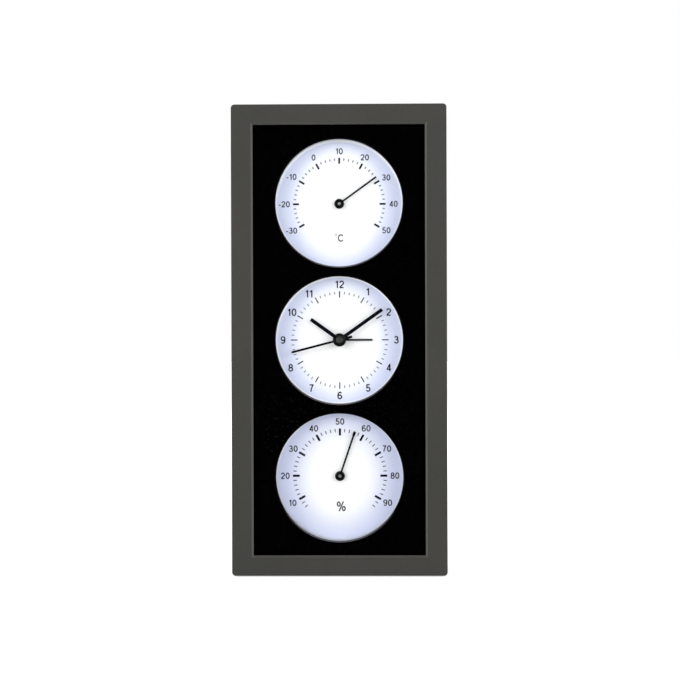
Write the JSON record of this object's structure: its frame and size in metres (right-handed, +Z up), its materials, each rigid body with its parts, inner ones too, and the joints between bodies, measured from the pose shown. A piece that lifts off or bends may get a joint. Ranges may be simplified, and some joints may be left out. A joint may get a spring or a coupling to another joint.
{
  "type": "thermometer hygrometer clock",
  "caption": "Upright desk instrument in a dark rectangular frame: round thermometer, quartz alarm clock and hygrometer dials stacked behind one glass pane.",
  "frame": {"origin": "on the table, under the middle of the object's box", "axes": "+Z up, -Y towards the viewer in front of the dials, +X to the viewer's right"},
  "size_m": [0.0944, 0.038, 0.2072],
  "materials": {
    "frame_plastic": "fine matte",
    "cover_plastic": "fine matte",
    "carrier_plastic": "satin",
    "mask_plastic": "gloss black",
    "pad_rubber": "matt",
    "pane": "clear",
    "dial_paint": "satin white",
    "screw_steel": "zinc plated",
    "brass": "turned",
    "bimetal": "rolled strip",
    "humidity_strip": "rolled strip with a coating",
    "pointer_black": "semi gloss black",
    "movement_plastic": "satin black",
    "train_plastic": "satin",
    "wheel_plastic": "moulded",
    "motor_iron": "stamped sheet",
    "bobbin_plastic": "moulded",
    "copper": "enamelled wire",
    "board": "varnished board",
    "can_steel": "drawn can",
    "chip_cover": "poured resin",
    "buzzer_plastic": "satin",
    "contact_steel": "nickel plated",
    "cell_jacket": "printed jacket",
    "knob_plastic": "satin black",
    "switch_plastic": "satin"
  },
  "bodies": {
    "housing": {"front_frame": "frame_plastic", "rubber_feet": "pad_rubber", "window_glass": "pane", "mask_panel": "mask_plastic", "dial_carrier": "carrier_plastic", "thermometer_dial": "dial_paint", "clock_dial": "dial_paint", "hygrometer_dial": "dial_paint", "rear_cover": "cover_plastic", "carrier_screws": "screw_steel", "rear_cover_screws": "screw_steel", "thermometer_bush": "brass", "thermometer_bridge": "motor_iron", "thermometer_coil": "bimetal", "hygrometer_bush": "brass", "hygrometer_bridge": "motor_iron", "hygrometer_coil": "humidity_strip", "movement_front_plate": "movement_plastic", "movement_rear_case": "movement_plastic", "movement_screws": "screw_steel", "train_plate": "train_plastic", "stator": "motor_iron", "coil_core": "motor_iron", "coil_bobbin": "bobbin_plastic", "coil_winding": "copper", "circuit_board": "board", "quartz_crystal": "can_steel", "chip": "chip_cover", "buzzer": "buzzer_plastic", "battery": "cell_jacket", "battery_contact": "contact_steel", "battery_spring": "contact_steel", "alarm_contact": "contact_steel"},
    "thermometer_needle": {"thermometer_arbor": "brass", "thermometer_pointer": "pointer_black"},
    "hygrometer_needle": {"hygrometer_arbor": "brass", "hygrometer_pointer": "pointer_black"},
    "rotor": {"rotor": "train_plastic"},
    "step_wheel": {"step_wheel": "wheel_plastic"},
    "second_train": {"second_wheel": "wheel_plastic", "second_hand": "pointer_black"},
    "third_wheel": {"third_wheel": "wheel_plastic"},
    "centre_wheel": {"centre_wheel": "wheel_plastic"},
    "minute_train": {"cannon_pinion": "wheel_plastic", "minute_hand": "pointer_black"},
    "day_wheel": {"day_wheel": "wheel_plastic"},
    "hour_train": {"hour_wheel": "wheel_plastic", "hour_hand": "pointer_black"},
    "alarm_train": {"alarm_wheel": "wheel_plastic", "alarm_hand": "pointer_black"},
    "time_knob": {"time_knob": "knob_plastic"},
    "alarm_knob": {"alarm_knob": "knob_plastic"},
    "alarm_switch": {"alarm_switch": "switch_plastic"}
  },
  "joints": [
    {"name": "thermometer_needle", "type": "hinge", "parent": "housing", "child": "thermometer_needle", "pos_m": [0, 0, 0.16425], "axis": [0, 1, 0], "range_deg": [-174.1, 65.9], "stiffness_Nm_per_rad": 0.0002},
    {"name": "hygrometer_needle", "type": "hinge", "parent": "housing", "child": "hygrometer_needle", "pos_m": [0, 0, 0.04345], "axis": [0, 1, 0], "range_deg": [-150.7, 113.3], "stiffness_Nm_per_rad": 0.0002},
    {"name": "second_turn", "type": "hinge", "parent": "housing", "child": "second_train", "pos_m": [0, 0, 0.10385], "axis": [0, 1, 0], "continuous": true},
    {"name": "step_turn", "type": "hinge", "parent": "housing", "child": "step_wheel", "pos_m": [0.00451, 0, 0.11233], "axis": [0, 1, 0], "continuous": true},
    {"name": "rotor_turn", "type": "hinge", "parent": "housing", "child": "rotor", "pos_m": [0.00548, 0, 0.11785], "axis": [0, 1, 0], "continuous": true},
    {"name": "third_turn", "type": "hinge", "parent": "housing", "child": "third_wheel", "pos_m": [-0.00539, 0, 0.11155], "axis": [0, 1, 0], "continuous": true},
    {"name": "centre_turn", "type": "hinge", "parent": "housing", "child": "centre_wheel", "pos_m": [0, 0, 0.10385], "axis": [0, 1, 0], "continuous": true},
    {"name": "time_knob_turn", "type": "hinge", "parent": "housing", "child": "time_knob", "pos_m": [0.01965, 0, 0.10208], "axis": [0, 1, 0], "continuous": true},
    {"name": "day_turn", "type": "hinge", "parent": "housing", "child": "day_wheel", "pos_m": [0.0096, 0, 0.10385], "axis": [0, 1, 0], "continuous": true},
    {"name": "minute_turn", "type": "hinge", "parent": "housing", "child": "minute_train", "pos_m": [0, 0, 0.10385], "axis": [0, 1, 0], "continuous": true},
    {"name": "hour_turn", "type": "hinge", "parent": "housing", "child": "hour_train", "pos_m": [0, 0, 0.10385], "axis": [0, 1, 0], "continuous": true},
    {"name": "alarm_knob_turn", "type": "hinge", "parent": "housing", "child": "alarm_knob", "pos_m": [-0.01152, 0, 0.10182], "axis": [0, 1, 0], "continuous": true},
    {"name": "alarm_turn", "type": "hinge", "parent": "housing", "child": "alarm_train", "pos_m": [0, 0, 0.10385], "axis": [0, 1, 0], "continuous": true},
    {"name": "alarm_switch_slide", "type": "slide", "parent": "housing", "child": "alarm_switch", "axis": [1, 0, 0], "range_m": [0, 0.003]}
  ],
  "couplings": [
    {"joint": "step_turn", "follows": "second_turn", "ratio": -5},
    {"joint": "rotor_turn", "follows": "second_turn", "ratio": 30},
    {"joint": "third_turn", "follows": "second_turn", "ratio": -0.13333},
    {"joint": "centre_turn", "follows": "second_turn", "ratio": 0.016667},
    {"joint": "day_turn", "follows": "time_knob_turn", "ratio": -0.41667},
    {"joint": "minute_turn", "follows": "time_knob_turn", "ratio": 1.25},
    {"joint": "hour_turn", "follows": "time_knob_turn", "ratio": 0.10417},
    {"joint": "alarm_turn", "follows": "alarm_knob_turn", "ratio": -0.44444}
  ]
}
